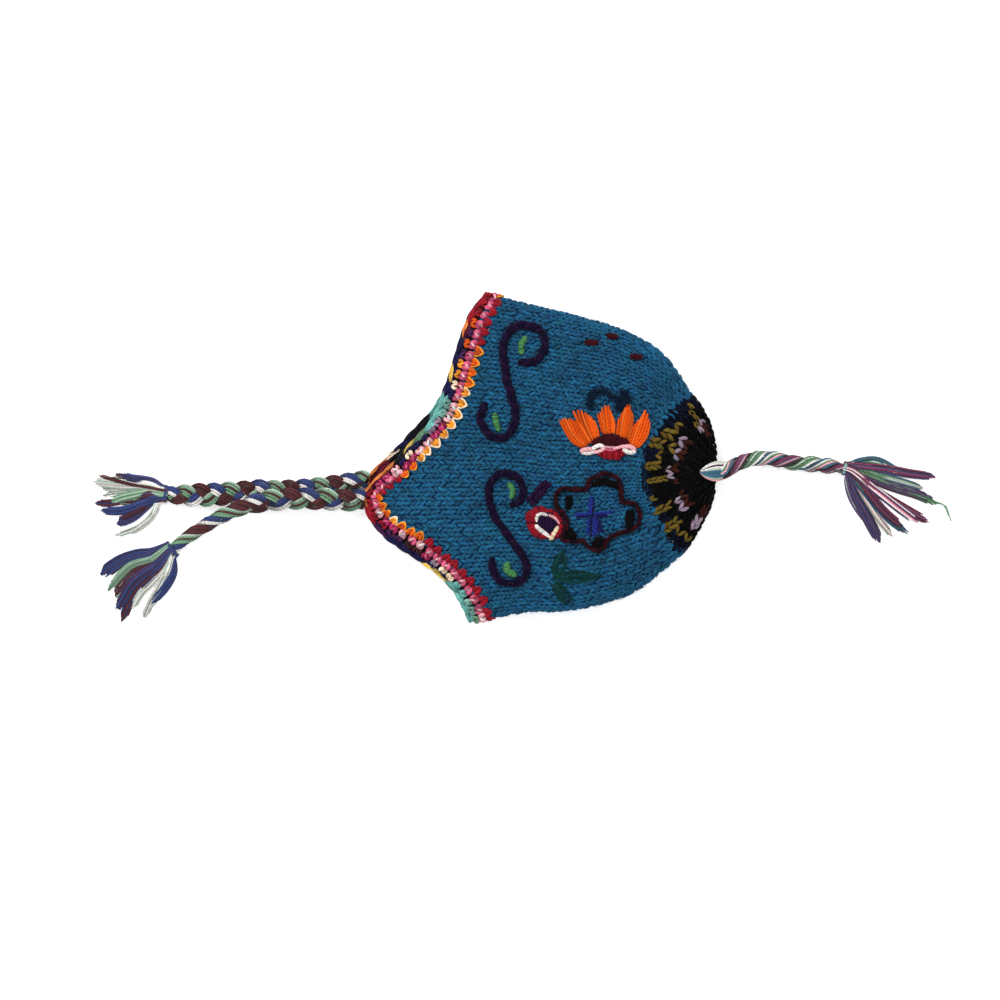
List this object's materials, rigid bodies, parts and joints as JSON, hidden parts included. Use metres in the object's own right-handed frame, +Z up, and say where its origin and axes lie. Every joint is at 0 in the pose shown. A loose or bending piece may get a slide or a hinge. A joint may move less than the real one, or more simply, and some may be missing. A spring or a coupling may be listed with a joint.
{
  "type": "knitted earflap hat",
  "caption": "Knitted wool hat with two ear flaps, crocheted border, wool flowers and plaited ties, laid flat on its side.",
  "frame": {"origin": "on the surface under the middle of the flattened hat, ties and tassels not counted", "axes": "+Z up from the surface, +X towards the crown, +Y towards the upper fold of the flattened tube"},
  "size_m": [0.6771, 0.2628, 0.0431],
  "materials": {
    "body_wool": "teal wool in stocking stitch",
    "crown_wool": "black wool with moss, lilac and brown stitches",
    "edging_wool": "self-striping wool, crocheted",
    "tie_wool": "sage, maroon, blue and white yarns, plaited",
    "binding_wool": "blue yarn, wrapped",
    "topknot_wool": "purple, green, magenta and white yarns, plaited"
  },
  "bodies": {
    "root": {"knit_body": "body_wool", "knit_crown": "crown_wool", "crochet_edging": "edging_wool", "tie_under_braid": "tie_wool", "tie_under_binding": "binding_wool", "tie_under_tassel": "tie_wool", "tie_over_braid": "tie_wool", "tie_over_binding": "binding_wool", "tie_over_tassel": "tie_wool", "topknot_braid": "topknot_wool", "topknot_binding": "topknot_wool", "topknot_tassel": "topknot_wool"}
  },
  "joints": []
}
